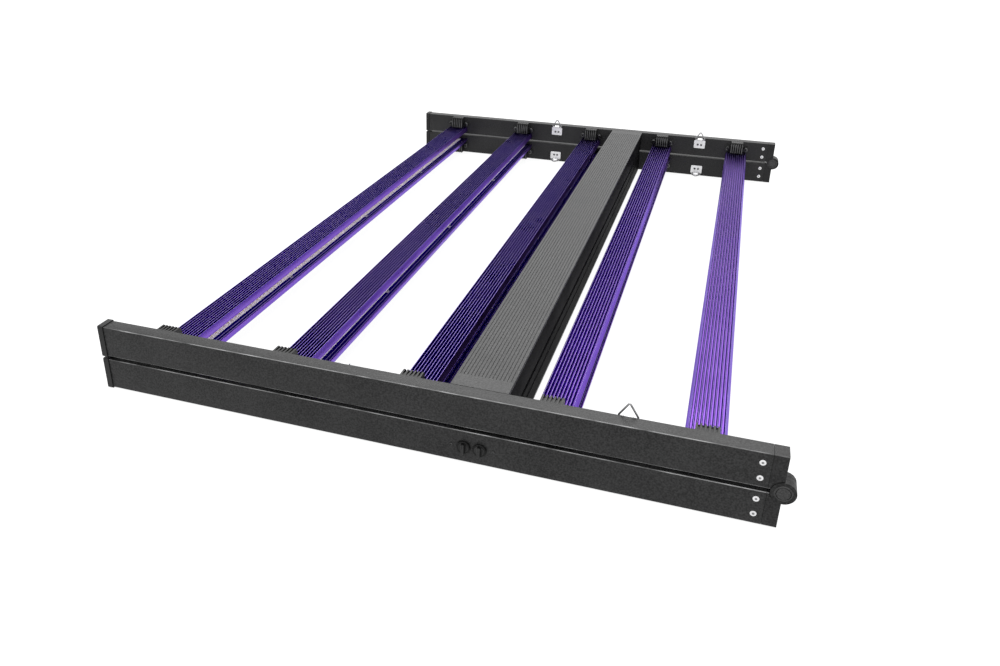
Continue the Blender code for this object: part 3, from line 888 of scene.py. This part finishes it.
def driver_case(side):
    """Channel with a ledge along each side, closed by a plate at each end."""
    lo, hi = CASE_LOW, CASE_HIGH
    middle = (lo.x + hi.x) / 2
    half, w = hi.x - middle, DRIVER_WALL
    wall = [(half - LEDGE - CASE_CHAMFER, lo.z), (half - LEDGE, lo.z + CASE_CHAMFER),
            (half - LEDGE, LEDGE_Z - LEDGE_EASE), (half - LEDGE_EASE, LEDGE_Z),
            (half, LEDGE_Z + LEDGE_EASE), (half, hi.z), (half - w, hi.z), (half - w, lo.z + w)]
    outline = [(middle + x, z) for x, z in wall] + [(middle - x, z) for x, z in reversed(wall)]
    shell = [prism(outline, "y", lo.y, hi.y)]
    x0, x1 = lo.x + w + PLATE_GAP, hi.x - w - PLATE_GAP
    z0 = lo.z + w + PLATE_GAP
    plate = [(x0, z0), (x1, z0), (x1, hi.z), (x0, hi.z)]
    shell += [prism(plate, "y", a, a + w) for a in (lo.y, hi.y - w)]
    add(f"{side}_driver_shell", merged(shell), [CASE_PAINT], f"{side}_half", "driver_case_black", side,
        nodes=[f"{side}_driver_case"])


def lid_outline(share):
    """Section of the lid, its grooves sunk to a share of their depth."""
    lo, hi = LID_LOW, LID_HIGH
    points = [(lo.x, lo.z), (hi.x, lo.z)]
    points += arc((hi.x - LID_ROUND, hi.z - LID_ROUND), LID_ROUND, 0, 90)
    wide, deep = GROOVE_HALF, GROOVE_DEPTH
    shape = [(wide + GROOVE_LIP, 0), (wide, GROOVE_LIP), (wide * GROOVE_FLOOR, deep),
             (-wide * GROOVE_FLOOR, deep), (-wide, GROOVE_LIP), (-wide - GROOVE_LIP, 0)]
    pitch = (hi.x - lo.x) / (LID_GROOVES + 1)
    for i in reversed(range(1, LID_GROOVES + 1)):
        x = lo.x + pitch * i
        points += [(x + a, hi.z - b * share) for a, b in shape]
    return points + arc((lo.x + LID_ROUND, hi.z - LID_ROUND), LID_ROUND, 90, 180)


def driver(side):
    """Case, grooved lid with plain ends, and the circuit board between them."""
    driver_case(side)
    plain, grooved = lid_outline(0), lid_outline(1)
    start, stop = LID_LOW.y + LID_SMOOTH, LID_HIGH.y - LID_SMOOTH
    lid = loft([(LID_LOW.y, plain), (start, plain), (start + GROOVE_END, grooved),
                (stop - GROOVE_END, grooved), (stop, plain), (LID_HIGH.y, plain)], "y")
    add(f"{side}_driver_cover", lid, [LID_PAINT], f"{side}_half", "driver_lid_grey", side,
        nodes=[f"{side}_driver_lid"], sharp=25)
    dress(f"{side}_driver_board", CIRCUIT)


def knob(place):
    """Thin disc with a raised grip bar across it, on a short shaft."""
    x = knob_x(place)
    back, front = KNOB_BACK, KNOB_LOW.y
    face = front - back + GRIP_UP
    profile = [(KNOB_R - 0.4, 0.0), (KNOB_R, 0.3), (KNOB_R, -face - 0.6), (KNOB_R - 0.3, -face - 0.2),
               (KNOB_R - 0.7, -face), (KNOB_R - KNOB_RIM, -face - KNOB_DISH), (2.0, -face - KNOB_DISH)]
    disc = aimed(turned(profile, DISC_SIDES), (0, -1, 0), (x, back, KNOB_Z))
    low, high = KNOB_Z - KNOB_R, KNOB_Z + KNOB_R
    grip = prism(rounded((x - GRIP_W / 2, low + 1), (x + GRIP_W / 2, high - 1), 1.0), "y",
                 front, back - 1.5)
    line = box((x - MARK_HALF, front - 1, low + 2), (x + MARK_HALF, front + KNOB_DISH, KNOB_Z - 1))
    shaft = prism(circle((x, KNOB_Z), SHAFT_R, SMALL_SIDES), "y", back - 1, KNOB_HIGH.y)
    bm = combine(disc, [grip, shaft], [line])
    # Painted shade round the rim and on the grip's sides, painted highlight on the grip's front.
    for face in bm.faces:
        at = face.calc_center_median() - Vector((x, 0, KNOB_Z))
        if at.xz.length > KNOB_R - KNOB_RIM + 0.2 or abs(face.normal.x) > 0.7:
            face.material_index = 1
        elif at.y < front + 0.1:
            face.material_index = 2
    add(f"knob_{place}", bm, [KNOB_PLASTIC, KNOB_SHADE, KNOB_HIGHLIGHT], f"dimmer_knob_{place}_body",
        "knob_black", "lower", nodes=[f"dimmer_knob_{place}"], bevel=0.3, sharp=50)


def dimmer():
    """The two knobs, the module behind them and the screw on each side."""
    for place in PLACES:
        knob(place)
    dress("dimmer_module", CIRCUIT)
    first, last = (knob_x(place) for place in PLACES)
    before, after = PANEL_SCREW_AWAY
    screws = [screw(*PANEL_SCREW, (0, -1, 0), (x, 0, KNOB_Z)) for x in (first - before, last + after)]
    add("dimmer_panel_screws", merged(screws), [BOLT_STEEL, SOCKET_SHADE], "lower_half", "zinc_steel",
        "lower")


# ---------------------------------------------------------------- hanging hardware

def hook_plate(side, end, place, x):
    """Steel plate with two screws and a rolled loop along its top."""
    y0, top = PLATE_LOW.y, PLATE_TOP_Z
    half = (PLATE_HIGH.x - PLATE_LOW.x) / 2
    outline = rounded((x - half, PLATE_LOW.z), (x + half, top), PLATE_ROUND, 5)
    plate = prism(outline, "y", y0, y0 + PLATE_T)
    m = PANEL_MARGIN
    sunk = rounded((x - half + m, PLATE_LOW.z + m), (x + half - m, top - PANEL_TOP), 1.0)
    panel = prism(sunk, "y", y0 + PLATE_T - PANEL_DEPTH, y0 + PLATE_T + 1)
    y, z = loop_centre()
    loop = prism(circle((y, z), LOOP_R, SMALL_SIDES), "x", x - LOOP_HALF, x + LOOP_HALF)
    tab = box((x - LOOP_HALF, y0, top - 2), (x + LOOP_HALF, y0 + PLATE_T, z))
    hole = prism(circle((y, z), LOOP_HOLE, SMALL_SIDES), "x", x - 2 * LOOP_HALF, x + 2 * LOOP_HALF)
    name = f"{side}_{end}_hook_plate_{place}"
    add(f"{name}_steel", combine(plate, [tab, loop], [hole, panel]), [ZINC], f"{side}_half",
        "zinc_steel", side, end, [name], bevel=0.3)
    screws = [screw(*PLATE_SCREW, (0, 1, 0), (x + dx, y0 + PLATE_T - PANEL_DEPTH, PLATE_SCREW_Z))
              for dx in (-PLATE_SCREW_X, PLATE_SCREW_X)]
    add(f"{name}_screws", merged(screws), [SOCKET_GREY, SOCKET_SHADE], f"{side}_half", "zinc_steel",
        side, end)


def ring_path():
    """Rounded triangle in the plane, with its base centred on the origin."""
    corners = [Vector((-RING_BASE / 2, 0)), Vector((RING_BASE / 2, 0)), Vector((0, RING_H))]
    path = []
    for i, corner in enumerate(corners):
        before = (corners[i - 1] - corner).normalized()
        after = (corners[(i + 1) % 3] - corner).normalized()
        half = before.angle(after) / 2
        reach = RING_CORNER * cos(half) / sin(half)
        centre = corner + (before + after).normalized() * (RING_CORNER / sin(half))
        start, stop = corner + before * reach - centre, corner + after * reach - centre
        path += [centre + start.lerp(stop, k / RING_STEPS).normalized() * RING_CORNER
                 for k in range(RING_STEPS + 1)]
    return path


def ring(side, end, place):
    """Wire triangle, at the lean its CAD ring has."""
    name = f"{side}_{end}_ring_{place}"
    pivot = Vector(JOINTS[f"{name}_swing"]["pos_m"])
    reach = max((v.co - pivot for v in frame["nodes"][name].data.vertices),
                key=lambda away: away.yz.length)
    up = Vector((0, reach.y, reach.z)).normalized()
    along = Vector((1, 0, 0))
    out = along.cross(up)
    path = ring_path()
    bm = bmesh.new()
    loops = []
    for i, point in enumerate(path):
        way = (path[(i + 1) % len(path)] - path[i - 1]).normalized()
        sideways = Vector((way.y, -way.x))
        loop = []
        for k in range(WIRE_SIDES):
            turn = 2 * pi * k / WIRE_SIDES
            flat = point + sideways * (WIRE_R * cos(turn))
            co = along * flat.x + up * flat.y + out * (WIRE_R * sin(turn))
            loop.append(bm.verts.new((pivot + co * MM - ORIGIN) / MM))
        loops.append(loop)
    for i, loop in enumerate(loops):
        after = loops[(i + 1) % len(loops)]
        for k in range(WIRE_SIDES):
            n = (k + 1) % WIRE_SIDES
            bm.faces.new((loop[k], loop[n], after[n], after[k]))
    add(f"{name}_wire", bm, [RING_STEEL], f"{name}_body", "zinc_steel", nodes=[name])


# ---------------------------------------------------------------- studio

def studio():
    """Pale floor, a white room that is brighter overhead, a soft lamp and the camera."""
    scene = bpy.context.scene
    scene.view_settings.view_transform = "Standard"
    world = bpy.data.worlds.new("white_room")
    world.use_nodes = True
    tree = world.node_tree
    height = tree.nodes.new("ShaderNodeSeparateXYZ")
    light = tree.nodes.new("ShaderNodeMapRange")
    light.inputs["To Min"].default_value = EYE_LEVEL
    light.inputs["To Max"].default_value = OVERHEAD
    tree.links.new(tree.nodes.new("ShaderNodeTexCoord").outputs["Generated"], height.inputs[0])
    tree.links.new(height.outputs["Z"], light.inputs["Value"])
    background = tree.nodes["Background"]
    background.inputs["Color"].default_value = (1, 1, 1, 1)
    tree.links.new(light.outputs[0], background.inputs["Strength"])
    scene.world = world

    ground = bmesh.new()
    bmesh.ops.create_circle(ground, cap_ends=True, segments=64, radius=FLOOR_R)
    mesh = bpy.data.meshes.new("floor")
    ground.to_mesh(mesh)
    ground.free()
    pale = Finish("pale_floor", {"Specular IOR Level": 0.0, "Emission Color": (1, 1, 1, 1),
                                 "Emission Strength": FLOOR_GLOW})
    colour = pale.ramp(pale.noise(400, 2.0), [(0.3, FLOOR_TINTS[0]), (0.7, FLOOR_TINTS[1])])
    mesh.materials.append(pale.wire(colour, pale.between(pale.noise(50), 0.8, 0.9)))
    ground_ob = bpy.data.objects.new("floor", mesh)
    ground_ob.location.z = FLOOR_Z
    scene.collection.objects.link(ground_ob)

    for name, place, size, watts in LAMPS:
        lamp = bpy.data.lights.new(name, "AREA")
        lamp.size = size
        lamp.energy = watts
        ob = bpy.data.objects.new(name, lamp)
        ob.location = place
        ob.rotation_euler = (-Vector(place)).to_track_quat("-Z", "Y").to_euler()
        scene.collection.objects.link(ob)

    lens = bpy.data.cameras.new("camera")
    lens.sensor_width = CAMERA_SENSOR
    lens.lens = CAMERA_LENS
    lens.shift_x, lens.shift_y = CAMERA_SHIFT
    lens.clip_start = 0.01
    ob = bpy.data.objects.new("camera", lens)
    ob.location = CAMERA_PLACE
    ob.rotation_euler = [radians(a) for a in CAMERA_TURN]
    scene.collection.objects.link(ob)
    scene.camera = ob


# ---------------------------------------------------------------- assembly

pattern = bracket()
for side in SIDES:
    for end in ENDS:
        rail(side, end)
        brackets(side, end, pattern)
        end_cap(side, end)
        hinge_leaf(side, end)
        for place, x in zip(PLACES, HOOK_X):
            hook_plate(side, end, place, x)
            ring(side, end, place)
    led_bars(side)
    driver(side)
hinge_pin("front")
hinge_pin("back")
dimmer()
studio()
